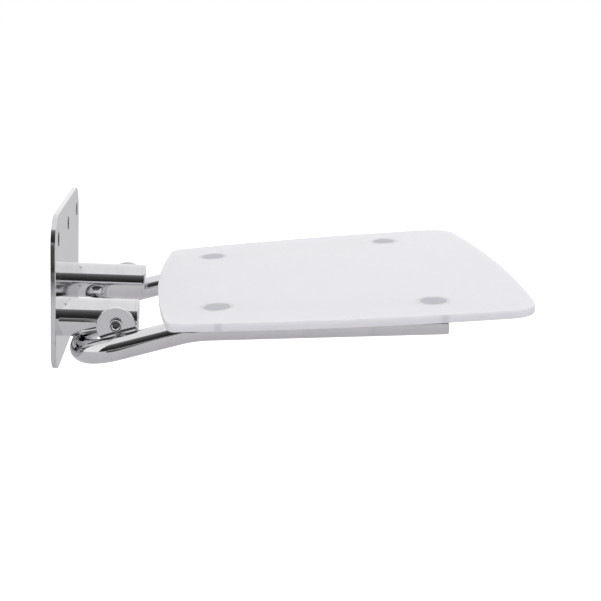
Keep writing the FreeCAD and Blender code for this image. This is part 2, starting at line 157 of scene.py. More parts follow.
def new_group(name, inputs, outputs):
    """An empty node group with number inputs and named outputs, and its two end nodes."""
    group = bpy.data.node_groups.new(name, "ShaderNodeTree")
    for label, kind, value in inputs:
        socket = group.interface.new_socket(label, in_out="INPUT", socket_type=kind)
        if value is not None:
            socket.default_value = value
    for label, kind in outputs:
        group.interface.new_socket(label, in_out="OUTPUT", socket_type=kind)
    return group, group.nodes.new("NodeGroupInput"), group.nodes.new("NodeGroupOutput")


def wire(tree, kind, settings=(), **links):
    """Adds a node, sets its fields and feeds its inputs from sockets or plain values."""
    node = tree.nodes.new(kind)
    for name, value in settings:
        setattr(node, name, value)
    for name, value in links.items():
        socket = node.inputs[int(name[1:])] if name[1:].isdigit() else node.inputs[name]
        if isinstance(value, bpy.types.NodeSocket):
            tree.links.new(value, socket)
        else:
            socket.default_value = value
    return node


# Dried water drops and cloth smears, which every wiped surface in a bathroom carries faintly.
drops, drops_in, drops_out = new_group(
    "dried_drops",
    [("Place", "NodeSocketVector", None), ("Spacing", "NodeSocketFloat", 90.0)],
    [("Rings", "NodeSocketFloat")])
wobble = wire(drops, "ShaderNodeTexNoise", _0=drops_in.outputs["Place"], Scale=60.0, Detail=2.0)
shift = wire(drops, "ShaderNodeVectorMath", [("operation", "SCALE")], _0=wobble.outputs["Color"],
             Scale=0.004)
moved = wire(drops, "ShaderNodeVectorMath", [("operation", "ADD")],
             _0=drops_in.outputs["Place"], _1=shift.outputs[0])
cells = wire(drops, "ShaderNodeTexVoronoi", _0=moved.outputs[0],
             Scale=drops_in.outputs["Spacing"], Randomness=1.0)
ring = wire(drops, "ShaderNodeValToRGB", _0=cells.outputs["Distance"])
ring.color_ramp.elements[0].position = 0.10
ring.color_ramp.elements[0].color = (0.25, 0.25, 0.25, 1)
ring.color_ramp.elements[1].position = 0.30
ring.color_ramp.elements[1].color = (0, 0, 0, 1)
rim = ring.color_ramp.elements.new(0.22)
rim.color = (1, 1, 1, 1)
chance = wire(drops, "ShaderNodeSeparateColor", _0=cells.outputs["Color"])
few = wire(drops, "ShaderNodeMath", [("operation", "GREATER_THAN")],
           _0=chance.outputs[0], _1=0.72)
kept = wire(drops, "ShaderNodeMath", [("operation", "MULTIPLY")], _0=ring.outputs[0],
            _1=few.outputs[0])
drops.links.new(kept.outputs[0], drops_out.inputs["Rings"])

smears, smears_in, smears_out = new_group(
    "cloth_smears",
    [("Place", "NodeSocketVector", None), ("Reach", "NodeSocketFloat", 14.0)],
    [("Smear", "NodeSocketFloat"), ("Hairline", "NodeSocketFloat")])
drag = wire(smears, "ShaderNodeMapping", _0=smears_in.outputs["Place"],
            Rotation=(0.5, 0.35, 0.6), Scale=(1.0, 3.2, 1.6))
broad = wire(smears, "ShaderNodeTexNoise", _0=drag.outputs[0],
             Scale=smears_in.outputs["Reach"], Detail=4.0, Roughness=0.6)
soft = wire(smears, "ShaderNodeMapRange", _0=broad.outputs[0])
soft.inputs["From Min"].default_value = 0.42
soft.inputs["From Max"].default_value = 0.72
thin = wire(smears, "ShaderNodeMapping", _0=smears_in.outputs["Place"],
            Rotation=(0.2, 0.9, 0.3), Scale=(60.0, 1400.0, 900.0))
hair = wire(smears, "ShaderNodeTexNoise", _0=thin.outputs[0], Scale=1.0, Detail=3.0)
fine = wire(smears, "ShaderNodeMapRange", _0=hair.outputs[0])
fine.inputs["From Min"].default_value = 0.62
fine.inputs["From Max"].default_value = 0.78
smears.links.new(soft.outputs[0], smears_out.inputs["Smear"])
smears.links.new(fine.outputs[0], smears_out.inputs["Hairline"])


def place_of(tree):
    """The piece's own coordinates."""
    return wire(tree, "ShaderNodeTexCoord").outputs["Object"]


def new_finish(name):
    """A new material, its tree, its shader and the piece's own coordinates."""
    finish = bpy.data.materials.new(name)
    finish.use_nodes = True
    tree = finish.node_tree
    return finish, tree, tree.nodes["Principled BSDF"], place_of(tree)


def shaded(colour, *shares):
    """A colour with each part taken down to its share."""
    return tuple(part * share for part, share in zip(colour, shares))


def blend_colours(tree, factor, low, high):
    """A colour that goes from low to high as the factor goes from 0 to 1."""
    node = wire(tree, "ShaderNodeMix", [("data_type", "RGBA")])
    tree.links.new(factor, node.inputs[0])
    node.inputs[6].default_value = (*low, 1)
    node.inputs[7].default_value = (*high, 1)
    return node.outputs[2]


def use_group(tree, group, **links):
    """Places a node group in a material."""
    node = tree.nodes.new("ShaderNodeGroup")
    node.node_tree = group
    for name, value in links.items():
        if isinstance(value, bpy.types.NodeSocket):
            tree.links.new(value, node.inputs[name])
        else:
            node.inputs[name].default_value = value
    return node


def blend_numbers(tree, factor, low, high):
    """A number that goes from low to high as the factor goes from 0 to 1."""
    node = wire(tree, "ShaderNodeMapRange", _0=factor)
    node.inputs["To Min"].default_value = low
    node.inputs["To Max"].default_value = high
    return node.outputs[0]


def polished_steel(name, colour, gloss, haze, drop_spacing, wave):
    """Stainless steel buffed to a mirror: a faint long wave left by the mop, fine hairlines,
    cloth smears and a few dried drops that only dull the gloss."""
    finish, tree, shader, place = new_finish(name)
    wiped = use_group(tree, smears, Place=place, Reach=16.0)
    dried = use_group(tree, drops, Place=place, Spacing=drop_spacing)
    marks = wire(tree, "ShaderNodeMath", [("operation", "MULTIPLY_ADD")],
                 _0=dried.outputs["Rings"], _1=0.55, _2=wiped.outputs["Smear"])
    dulled = wire(tree, "ShaderNodeMath", [("operation", "MULTIPLY_ADD"), ("use_clamp", True)],
                  _0=wiped.outputs["Hairline"], _1=0.35, _2=marks.outputs[0])
    tree.links.new(blend_numbers(tree, dulled.outputs[0], gloss, haze),
                   shader.inputs["Roughness"])
    tree.links.new(blend_colours(tree, dulled.outputs[0], colour,
                                 shaded(colour, 0.93, 0.93, 0.925)), shader.inputs["Base Color"])
    mop = wire(tree, "ShaderNodeTexNoise", _0=place, Scale=34.0, Detail=1.0)
    bump = wire(tree, "ShaderNodeBump", Strength=wave, Distance=0.001, Height=mop.outputs[0])
    tree.links.new(bump.outputs[0], shader.inputs["Normal"])
    shader.inputs["Metallic"].default_value = 1.0
    return finish


mirror_steel = polished_steel("mirror_steel", (0.77, 0.765, 0.78), 0.035, 0.10, 150.0, 0.012)
plate_steel = polished_steel("plate_steel", (0.76, 0.765, 0.78), 0.06, 0.14, 120.0, 0.010)


def hole_finish_with_painted_shade(name, colour):
    """Steel left as the drill or broach cut it: dull, with fine tool rings, its colour taken
    down to a painted shade for the inside of a hole.
    """
    finish, tree, shader, place = new_finish(name)
    patch = wire(tree, "ShaderNodeTexNoise", _0=place, Scale=500.0, Detail=3.0)
    tree.links.new(blend_colours(tree, patch.outputs[0], shaded(colour, 0.7, 0.7, 0.7),
                                 colour), shader.inputs["Base Color"])
    tree.links.new(blend_numbers(tree, patch.outputs[0], 0.35, 0.55),
                   shader.inputs["Roughness"])
    rings = wire(tree, "ShaderNodeTexWave", [("bands_direction", "Y")], _0=place, Scale=900.0,
                 Distortion=1.5, Detail=1.0)
    bump = wire(tree, "ShaderNodeBump", Strength=0.2, Distance=0.0002, Height=rings.outputs[1])
    tree.links.new(bump.outputs[0], shader.inputs["Normal"])
    shader.inputs["Metallic"].default_value = 1.0
    return finish


hole_steel_painted_shade = hole_finish_with_painted_shade("hole_steel_painted_shade", (0.22, 0.22, 0.23))

PLATE = (0.220, 0.005, 0.160)
PLATE_CORNER, PLATE_EASE = 0.028, 0.0008
WALL_HOLE_R, SINK_R, SINK_DEPTH = 0.0045, 0.0070, 0.0025
WALL_HOLES = ((-0.085, 0.055), (0, 0.055), (0.085, 0.055), (0, -0.055))
PAST = 0.001
clear()
bpy.ops.mesh.primitive_cube_add(size=1, location=(0, -PLATE[1] / 2, 0), scale=PLATE)
plate = added("plate_polished")
settle(plate)
ease(plate, lambda a, b: abs(a.y - b.y) > 0.004, PLATE_CORNER, 24)
ease(plate, lambda a, b: max(a.y, b.y) < -0.0045, PLATE_EASE, 3)
for x, z in WALL_HOLES:
    sink = turned("wall_hole_tool", [
        (WALL_HOLE_R, -PAST), (WALL_HOLE_R, PLATE[1] - SINK_DEPTH), (SINK_R, PLATE[1]),
        (SINK_R, PLATE[1] + PAST)], steps=64)
    cut_away(plate, stand(sink, (x, 0, z), (0, -1, 0)))


def on_hole_mouth(a, b):
    """True for an edge of a countersink's mouth in the plate's front face."""
    return max(a.y, b.y) < -PLATE[1] + 0.00005 and any(
        abs(math.hypot(p.x - x, p.z - z) - SINK_R) < 0.0001
        for p in (a, b) for x, z in WALL_HOLES)


ease(plate, lambda a, b: on_hole_mouth(a, b) and (a - b).length < 0.001, 0.0003, 2)
smooth(plate)
fit(plate, "wall_bracket", "wall_plate", plate_steel)
# The holes keep the drill's dull finish, darkened as painted shade: a face is in a hole when all
# its corners are.
plate.data.materials.append(hole_steel_painted_shade)
for face in plate.data.polygons:
    rim = [plate.data.vertices[index].co for index in face.vertices]
    if any(all(math.hypot(p.x - x, p.z - z) < SINK_R + 0.0001 for p in rim)
           for x, z in WALL_HOLES):
        face.material_index = 1

# Arms. Two short lengths of 40 mm stainless tube, 2 mm thick, welded square to the plate, each
# with a hole in its outer side for the pivot boss. A turned plug closes each free end.
ARM_X, ARM_Z, PLATE_FRONT = 0.0775, -0.027, -0.005
ARM_R, ARM_WALL, ARM_LENGTH = 0.020, 0.002, 0.077
PIVOT_Y, BOSS_R = -0.0635, 0.010

arm_first = turned("arm_polished_left", [(ARM_R - ARM_WALL, 0), (ARM_R, 0),
                                         (ARM_R, ARM_LENGTH - 0.0002),
                                         (ARM_R - 0.0002, ARM_LENGTH),
                                         (ARM_R - ARM_WALL, ARM_LENGTH)], 160, hollow=True)
stand(arm_first, (-ARM_X, PLATE_FRONT, ARM_Z), (0, -1, 0))
side_hole = turned("side_hole_tool", [(BOSS_R + 0.00002, 0), (BOSS_R + 0.00002, 0.04)], 64)
cut_away(arm_first, stand(side_hole, (-ARM_X, PIVOT_Y, ARM_Z), (-1, 0, 0)))
smooth(arm_first, 40)

plug_first = turned("arm_plug_left", [(ARM_R - ARM_WALL - 0.00002, -0.004),
                                      (ARM_R - ARM_WALL - 0.00002, 0), (ARM_R - 0.0002, 0),
                                      (ARM_R, 0.0002), (ARM_R, 0.0018), (0.0199, 0.0023),
                                      (0.0196, 0.0027), (0.0191, 0.0030)], 160)
stand(plug_first, (-ARM_X, PLATE_FRONT - ARM_LENGTH, ARM_Z), (0, -1, 0))
smooth(plug_first, 40)


def other_side(piece, name):
    """A copy of a piece on the other side of the middle, with its own mesh."""
    only(piece)
    bpy.ops.object.duplicate()
    copy = added(name)
    copy.scale = (-1, 1, 1)
    settle(copy)
    bpy.ops.object.mode_set(mode="EDIT")
    bpy.ops.mesh.select_all(action="SELECT")
    bpy.ops.mesh.normals_make_consistent(inside=False)
    bpy.ops.object.mode_set(mode="OBJECT")
    return copy


arm_second = other_side(arm_first, "arm_polished_right")
plug_second = other_side(plug_first, "arm_plug_right")
for side, arm, plug in (("left", arm_first, plug_first), ("right", arm_second, plug_second)):
    fit(arm, "wall_bracket", f"arm_tube_{side}", mirror_steel)
    fit(plug, "wall_bracket", f"arm_cap_{side}", mirror_steel)

# Pivots. A solid boss is set in each arm's outer side, half a millimetre proud, and tapped for
# a socket-head shoulder screw. The screw's head is turned with a rounded rim, its socket is
# left as broached with a chamfered mouth and painted dark as shade, and the ear swings on its
# shoulder.
BOSS_FACE, SHOULDER, HEAD_HEIGHT = 0.098, 0.006, 0.0045
SOCKET_ACROSS, SOCKET_DEPTH = 0.006, 0.0030

boss_first = turned("boss_left", [(0.00405, -0.018), (BOSS_R, -0.018), (BOSS_R, -0.0003),
                                  (BOSS_R - 0.0003, 0), (0.00405, 0)], 96, hollow=True)
stand(boss_first, (-BOSS_FACE, PIVOT_Y, ARM_Z), (-1, 0, 0))
smooth(boss_first)

HEAD_TOP = SHOULDER + HEAD_HEIGHT
screw_first = turned("shoulder_screw_left", [
    (0.0034, -0.014), (0.004, -0.0134), (0.004, 0), (0.005, 0), (0.005, SHOULDER),
    (0.0063, SHOULDER), (0.0065, SHOULDER + 0.0002), (0.0065, HEAD_TOP - 0.0012),
    (0.0064, HEAD_TOP - 0.00075), (0.0061, HEAD_TOP - 0.00037), (0.0057, HEAD_TOP - 0.0001),
    (0.0053, HEAD_TOP)], 96)
SOCKET_CORNER = SOCKET_ACROSS / math.sqrt(3)
socket = turned("socket_tool", [(SOCKET_CORNER, HEAD_TOP - SOCKET_DEPTH),
                                (SOCKET_CORNER, HEAD_TOP + PAST)], 6)
cut_away(screw_first, socket)
mouth = turned("mouth_tool", [(0.0028, HEAD_TOP - 0.0010), (0.0039, HEAD_TOP),
                              (0.0050, HEAD_TOP + 0.001)], 96)
cut_away(screw_first, mouth)
in_socket = [face.index for face in screw_first.data.polygons
             if face.center.z > SHOULDER + 0.001
             and math.hypot(face.center.x, face.center.y) < 0.00335]
stand(screw_first, (-BOSS_FACE, PIVOT_Y, ARM_Z), (-1, 0, 0))
smooth(screw_first)

boss_second = other_side(boss_first, "boss_right")
screw_second = other_side(screw_first, "shoulder_screw_right")
for side, boss, screw in (("left", boss_first, screw_first),
                          ("right", boss_second, screw_second)):
    fit(boss, "wall_bracket", f"pivot_boss_{side}", mirror_steel)
    fit(screw, "wall_bracket", f"pivot_screw_{side}", mirror_steel)
    # The socket's faces take the dull hole finish, whose dark colour is painted shade.
    screw.data.materials.append(hole_steel_painted_shade)
    for index in in_socket:
        screw.data.polygons[index].material_index = 1

# Seat frame. One length of 25 mm stainless tube bent cold on four formers: a cross tube under
# the arms, two tight corners, two legs that climb past the arms, a gentle knee in each, and
# two rails that spread towards the front at the seat's own slope.
TUBE_R, TUBE_WALL = 0.0125, 0.002
CROSS = Vector((0, -0.0275, -0.060))
LEG_X, CORNER_R, KNEE_R = 0.1108, 0.039, 0.140
LEG_RUN, RAIL_RUN = 0.118, 0.253
LEG_TILT, RISE, SPLAY = math.radians(16.5), math.radians(5.6), math.radians(7.6)
leg_way = Vector((0, -math.cos(LEG_TILT), math.sin(LEG_TILT)))
rail_way = Vector((math.tan(SPLAY), -1, math.tan(RISE))).normalized()
knee_point = CROSS + Vector((LEG_X, 0, 0)) + leg_way * LEG_RUN
knee_turn = leg_way.angle(rail_way)
knee_reach = KNEE_R * math.tan(knee_turn / 2)


def pull(way, length):
    """In edit mode, pulls the selected ring along a direction."""
    bpy.ops.mesh.extrude_region_move(TRANSFORM_OT_translate={"value": way * length})


def bend(centre, axis, turn, steps):
    """In edit mode, carries the selected ring round a former. The axis follows the right hand."""
    bpy.ops.mesh.spin(steps=steps, angle=turn, center=centre, axis=-axis)


def bent_tube(name, radius, sides=96):
    """Half of the frame's tube from the middle of the cross tube to the rail's end, then its
    mirror image joined on."""
    clear()
    bpy.ops.mesh.primitive_circle_add(vertices=sides, radius=radius, location=CROSS,
                                      rotation=(0, math.pi / 2, 0))
    tube = added(name)
    settle(tube)
    bpy.ops.object.mode_set(mode="EDIT")
    bpy.ops.mesh.select_all(action="SELECT")
    sideways = Vector((1, 0, 0))
    pull(sideways, LEG_X - CORNER_R)
    corner_axis = sideways.cross(leg_way)
    bend(CROSS + sideways * (LEG_X - CORNER_R) + leg_way * CORNER_R, corner_axis,
         math.pi / 2, 64)
    pull(leg_way, LEG_RUN - CORNER_R - knee_reach)
    knee_axis = leg_way.cross(rail_way).normalized()
    bend(knee_point - leg_way * knee_reach + knee_axis.cross(leg_way) * KNEE_R, knee_axis,
         knee_turn, 24)
    pull(rail_way, RAIL_RUN - knee_reach)
    bpy.ops.object.mode_set(mode="OBJECT")
    work(tube, "MIRROR", merge_threshold=1e-5)
    only(tube)
    bpy.ops.object.mode_set(mode="EDIT")
    bpy.ops.mesh.select_all(action="SELECT")
    bpy.ops.mesh.remove_doubles(threshold=1e-6)
    bpy.ops.mesh.normals_make_consistent(inside=False)
    bpy.ops.object.mode_set(mode="OBJECT")
    return tube


frame_tube = bent_tube("frame_polished", TUBE_R)
work(frame_tube, "SOLIDIFY", thickness=TUBE_WALL, offset=-1)
STUDS = {"rear": 0.025, "front": 0.2385}
seat_up = Vector((0, math.sin(RISE), math.cos(RISE)))
seat_out = Vector((0, -math.cos(RISE), math.sin(RISE)))


def rail_place(side, depth):
    """The point on a rail's centre line at a depth from the knee, measured along the seat."""
    across = side * (LEG_X + math.tan(SPLAY) * depth * math.cos(RISE))
    return Vector((across, knee_point.y, knee_point.z)) + seat_out * depth


for depth in STUDS.values():
    for side in (-1, 1):
        hole = turned("insert_hole_tool", [(0.00602, 0), (0.00602, 0.014)], 48)
        cut_away(frame_tube, stand(hole, rail_place(side, depth), seat_up))
smooth(frame_tube, 40)
fit(frame_tube, "folding_seat", "frame_tube", mirror_steel)

# Rail caps. A turned stainless plug pressed in the open end of each rail, its rim rounded.
CAP_R = TUBE_R - TUBE_WALL - 0.00002
cap_first = turned("rail_plug_right", [(CAP_R, -0.004), (CAP_R, 0), (TUBE_R - 0.0001, 0),
                                       (TUBE_R, 0.0001), (TUBE_R, 0.0010), (0.0124, 0.0014),
                                       (0.0122, 0.0017), (0.0118, 0.0020)], 96)
stand(cap_first, knee_point + rail_way * RAIL_RUN, rail_way)
smooth(cap_first, 40)
cap_second = other_side(cap_first, "rail_plug_left")
fit(cap_first, "folding_seat", "rail_cap_right", mirror_steel)
fit(cap_second, "folding_seat", "rail_cap_left", mirror_steel)

# Ears. A 4 mm disc stands on the inner flank of each leg, notched to sit over the tube, welded
# and polished in. Its eye, a little above its middle, holds a flanged nylon bush that turns on
# the screw's shoulder.
EAR_IN, EAR_THICK, EAR_R, EAR_DROP, EAR_EASE = 0.0989, 0.004, 0.01975, 0.002, 0.0004
EAR_FOOT_WIDTH, EYE_R = 0.028, 0.00607


def leg_height(y):
    """The height of a leg's centre line at a distance from the wall."""
    return CROSS.z + (CROSS.y - y) * math.tan(LEG_TILT)


ear_first = turned("ear_right", [(EAR_R - EAR_EASE, 0), (EAR_R, EAR_EASE),
                                 (EAR_R, EAR_THICK - EAR_EASE),
                                 (EAR_R - EAR_EASE, EAR_THICK)], 128)
stand(ear_first, (EAR_IN, PIVOT_Y, ARM_Z - EAR_DROP), (1, 0, 0))
drop = (ARM_Z - leg_height(PIVOT_Y)) * math.cos(LEG_TILT)
clear()
bpy.ops.mesh.primitive_cube_add(size=1, location=(0, 0, -drop / 2),
                                scale=(EAR_THICK - 0.0002, EAR_FOOT_WIDTH, drop))
foot = added("ear_foot")
settle(foot)
foot.rotation_euler = (-LEG_TILT, 0, 0)
foot.location = (EAR_IN + EAR_THICK / 2, PIVOT_Y, ARM_Z)
settle(foot)
work(ear_first, "BOOLEAN", operation="UNION", solver="EXACT", object=foot)
bpy.data.objects.remove(foot)
eye = turned("eye_tool", [(EYE_R, -PAST), (EYE_R, EAR_THICK + PAST)], 96)
cut_away(ear_first, stand(eye, (EAR_IN, PIVOT_Y, ARM_Z), (1, 0, 0)))
notch = turned("notch_tool", [(0.01245, -0.06), (0.01245, 0.06)], 128)
cut_away(ear_first, stand(notch, (LEG_X, PIVOT_Y, leg_height(PIVOT_Y)), leg_way))
smooth(ear_first)
ear_second = other_side(ear_first, "ear_left")
fit(ear_first, "folding_seat", "hinge_ear_right", plate_steel)
fit(ear_second, "folding_seat", "hinge_ear_left", plate_steel)


def moulded_nylon(name, colour):
    """Natural nylon: milky, slightly mottled, with a fine matt skin."""
    finish, tree, shader, place = new_finish(name)
    mottle = wire(tree, "ShaderNodeTexNoise", _0=place, Scale=220.0, Detail=3.0)
    tree.links.new(blend_colours(tree, mottle.outputs[0], colour,
                                 shaded(colour, 0.9, 0.9, 0.87)), shader.inputs["Base Color"])
    tree.links.new(blend_numbers(tree, mottle.outputs[0], 0.42, 0.60),
                   shader.inputs["Roughness"])
    skin = wire(tree, "ShaderNodeTexNoise", _0=place, Scale=2500.0, Detail=1.0)
    bump = wire(tree, "ShaderNodeBump", Strength=0.12, Distance=0.0003, Height=skin.outputs[0])
    tree.links.new(bump.outputs[0], shader.inputs["Normal"])
    shader.inputs["Subsurface Weight"].default_value = 0.15
    shader.inputs["Subsurface Radius"].default_value = (0.002, 0.002, 0.0018)
    return finish


bush_nylon = moulded_nylon("bush_nylon", (0.72, 0.72, 0.70))
for side in ("left", "right"):
    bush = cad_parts[f"hinge_bush_{side}"]
    bush.data.materials.clear()
    bush.data.materials.append(bush_nylon)

# Seat panel. Opal white cast acrylic sheet, 8.5 mm thick, sawn to shape, its edges just eased
# and flame polished. All four sides bow gently outwards and it is widest near the front. Each
# corner is drilled through for a stud, with a shallow recess for the stud's round head.
SEAT_HALF, SEAT_THICK = 0.194, 0.0085
REAR_Y, FRONT_Y, WIDEST_Y = 0.0365, -0.342, -0.290
SIDE_R, REAR_R, FRONT_R = 1.660, 1.050, 1.500
REAR_CORNER, FRONT_CORNER = 0.018, 0.028
side_centre = Vector((SEAT_HALF - SIDE_R, WIDEST_Y, 0))
rear_centre = Vector((0, REAR_Y - REAR_R, 0))
front_centre = Vector((0, FRONT_Y + FRONT_R, 0))


def corner_centre(first, first_r, second, second_r, corner_r, towards):
    """The centre of a round corner that touches two arcs from inside, on the right-hand side."""
    a, b = first_r - corner_r, second_r - corner_r
    gap = second - first
    along = (a * a - b * b + gap.length_squared) / (2 * gap.length)
    across = math.sqrt(a * a - along * along)
    way = gap.normalized()
    foot_point = first + way * along
    both = [foot_point + Vector((-way.y, way.x, 0)) * step for step in (across, -across)]
    return min(both, key=lambda point: (point - towards).length)


rear_corner = corner_centre(rear_centre, REAR_R, side_centre, SIDE_R, REAR_CORNER,
                            Vector((SEAT_HALF, REAR_Y, 0)))
front_corner = corner_centre(front_centre, FRONT_R, side_centre, SIDE_R, FRONT_CORNER,
                             Vector((SEAT_HALF, FRONT_Y, 0)))


def heading(centre, point):
    """The direction from a centre to a point, as an angle from +X."""
    return math.atan2(point.y - centre.y, point.x - centre.x)


clear()
bpy.ops.mesh.primitive_plane_add(size=0.01, location=(0, REAR_Y, 0))
panel = added("panel_acrylic")
settle(panel)
bpy.ops.object.mode_set(mode="EDIT")
bpy.ops.mesh.select_mode(type="VERT")
bpy.ops.mesh.select_all(action="SELECT")
bpy.ops.mesh.merge(type="CENTER")
bpy.ops.mesh.select_all(action="SELECT")
# The outline is drawn as one point carried round five arcs, from the middle of the rear edge
# to the middle of the front edge, each arc starting where the last one ends.
at = math.pi / 2
for centre, end, steps in (
        (rear_centre, heading(rear_centre, rear_corner), 34),
        (rear_corner, heading(side_centre, rear_corner), 14),
        (side_centre, heading(side_centre, front_corner), 64),
        (front_corner, heading(front_centre, front_corner), 20),
        (front_centre, -math.pi / 2, 34)):
    bpy.ops.mesh.spin(steps=steps, angle=at - end, center=centre, axis=(0, 0, 1))
    at = end
bpy.ops.object.mode_set(mode="OBJECT")
work(panel, "MIRROR", merge_threshold=1e-5)
only(panel)
bpy.ops.object.mode_set(mode="EDIT")
bpy.ops.mesh.select_all(action="SELECT")
bpy.ops.mesh.remove_doubles(threshold=1e-6)
bpy.ops.mesh.edge_face_add()
bpy.ops.mesh.extrude_region_move(TRANSFORM_OT_translate={"value": (0, 0, SEAT_THICK)})
bpy.ops.mesh.select_all(action="SELECT")
bpy.ops.mesh.normals_make_consistent(inside=False)
bpy.ops.object.mode_set(mode="OBJECT")
ease(panel, lambda a, b: abs(a.z - b.z) < 1e-5, 0.0005, 3)
SADDLE_CREST, HEAD_THICK, HEAD_R = 0.0014, 0.0025, 0.0120
RECESS_R = HEAD_R + 0.0002
PANEL_TOP = TUBE_R + SADDLE_CREST + SEAT_THICK
STEM_HOLE = 0.00607
for depth in STUDS.values():
    for side in (-1, 1):
        spot = rail_place(side, depth)
        recess = turned("recess_tool", [
            (STEM_HOLE, -PAST), (STEM_HOLE, SEAT_THICK - HEAD_THICK),
            (RECESS_R, SEAT_THICK - HEAD_THICK), (RECESS_R, SEAT_THICK - 0.00015),
            (RECESS_R + 0.00015, SEAT_THICK), (RECESS_R + 0.00015, SEAT_THICK + PAST)], 128)
        recess.location = (spot.x, -depth, 0)
        settle(recess)
        cut_away(panel, recess)
panel.rotation_euler = (-RISE, 0, 0)
panel.location = Vector((0, knee_point.y, knee_point.z)) + seat_up * (TUBE_R + SADDLE_CREST)
settle(panel)
smooth(panel)


def stem_shade(tree, place, on_edge):
    """A painted soft shade where a stud's stem shows through the sheet, 1 at its darkest: a halo
    round each head, or on the panel's edge a smear in line with it."""
    parts = wire(tree, "ShaderNodeSeparateXYZ", _0=place)
    aside = wire(tree, "ShaderNodeMath", [("operation", "ABSOLUTE")], _0=parts.outputs[0])
    shades = []
    for depth in STUDS.values():
        head = rail_place(1, depth) + seat_up * PANEL_TOP
        along = wire(tree, "ShaderNodeMath", [("operation", "SUBTRACT")],
                     _0=parts.outputs[1], _1=head.y)
        across = wire(tree, "ShaderNodeMath", [("operation", "SUBTRACT")],
                      _0=aside.outputs[0], _1=head.x)
        flat = wire(tree, "ShaderNodeCombineXYZ", _1=along.outputs[0])
        if not on_edge:
            tree.links.new(across.outputs[0], flat.inputs[0])
        away = wire(tree, "ShaderNodeVectorMath", [("operation", "LENGTH")], _0=flat.outputs[0])
        shade = wire(tree, "ShaderNodeMapRange", [("interpolation_type", "SMOOTHSTEP")],
                     Value=away.outputs["Value"])
        near, far = (0.001, 0.006) if on_edge else (HEAD_R, 0.020)
        for socket, number in (("From Min", near), ("From Max", far), ("To Min", 1.0),
                               ("To Max", 0.0)):
            shade.inputs[socket].default_value = number
        shades.append(shade)
    return wire(tree, "ShaderNodeMath", [("operation", "MAXIMUM")],
                _0=shades[0].outputs[0], _1=shades[1].outputs[0]).outputs[0]


def opal_acrylic(name, colour, on_edge):
    """Cast opal sheet: light soaks a little way in, the face is glossy with wiping hairlines,
    faint drop marks, a hint of cloudiness in the cast and a painted shade where the stems show
    through."""
    finish, tree, shader, place = new_finish(name)
    cloud = wire(tree, "ShaderNodeTexNoise", _0=place, Scale=7.0, Detail=2.0)
    cast = blend_colours(tree, cloud.outputs[0], colour, shaded(colour, 0.975, 0.977, 0.985))
    # Painted shade: the colour darkens towards grey near each stud, where its stem shows through.
    stem_painted_shade = wire(tree, "ShaderNodeMix", [("data_type", "RGBA")])
    tree.links.new(blend_numbers(tree, stem_shade(tree, place, on_edge), 0.0, 0.22),
                   stem_painted_shade.inputs[0])
    tree.links.new(cast, stem_painted_shade.inputs[6])
    stem_painted_shade.inputs[7].default_value = (0.25, 0.25, 0.28, 1)
    tree.links.new(stem_painted_shade.outputs[2], shader.inputs["Base Color"])
    wiped = use_group(tree, smears, Place=place, Reach=9.0)
    dried = use_group(tree, drops, Place=place, Spacing=70.0)
    marks = wire(tree, "ShaderNodeMath", [("operation", "MULTIPLY_ADD")],
                 _0=dried.outputs["Rings"], _1=0.5, _2=wiped.outputs["Smear"])
    dulled = wire(tree, "ShaderNodeMath", [("operation", "MULTIPLY_ADD"), ("use_clamp", True)],
                  _0=wiped.outputs["Hairline"], _1=0.5, _2=marks.outputs[0])
    tree.links.new(blend_numbers(tree, dulled.outputs[0], 0.10, 0.22),
                   shader.inputs["Roughness"])
    shader.inputs["IOR"].default_value = 1.49
    shader.inputs["Subsurface Weight"].default_value = 0.8
    shader.inputs["Subsurface Radius"].default_value = (0.012, 0.012, 0.013)
    shader.inputs["Subsurface Scale"].default_value = 1.0
    return finish


OPAL = (0.765, 0.76, 0.79)
fit(panel, "folding_seat", "seat_panel",
    opal_acrylic("opal_acrylic", OPAL, False))
# The edge faces get their own copy, whose painted shade is a smear in line with each stud.
panel.data.materials.append(opal_acrylic("opal_acrylic_edge", OPAL, True))
for face in panel.data.polygons:
    if abs(face.normal.z) < 0.6:
        face.material_index = 1

# Seat fixings. Four turned studs hold the panel: each has a flat round head with a satin face,
# flush with the seat, and a stem that runs through a soft nylon saddle with a sleeve and
# screws into a threaded insert in the rail.


def satin_turned(name, colour):
    """Steel faced on a lathe and left satin: fine rings about each stud's own middle."""
    finish, tree, shader, place = new_finish(name)
    grain = wire(tree, "ShaderNodeTexNoise", _0=place, Scale=900.0, Detail=3.0)
    patch = wire(tree, "ShaderNodeTexNoise", _0=place, Scale=90.0, Detail=2.0)
    tree.links.new(blend_colours(tree, patch.outputs[0], colour,
                                 shaded(colour, 0.93, 0.93, 0.93)), shader.inputs["Base Color"])
    tree.links.new(blend_numbers(tree, grain.outputs[0], 0.30, 0.46),
                   shader.inputs["Roughness"])
    bump = wire(tree, "ShaderNodeBump", Strength=0.05, Distance=0.0002,
                Height=grain.outputs[0])
    tree.links.new(bump.outputs[0], shader.inputs["Normal"])
    shader.inputs["Metallic"].default_value = 1.0
    return finish


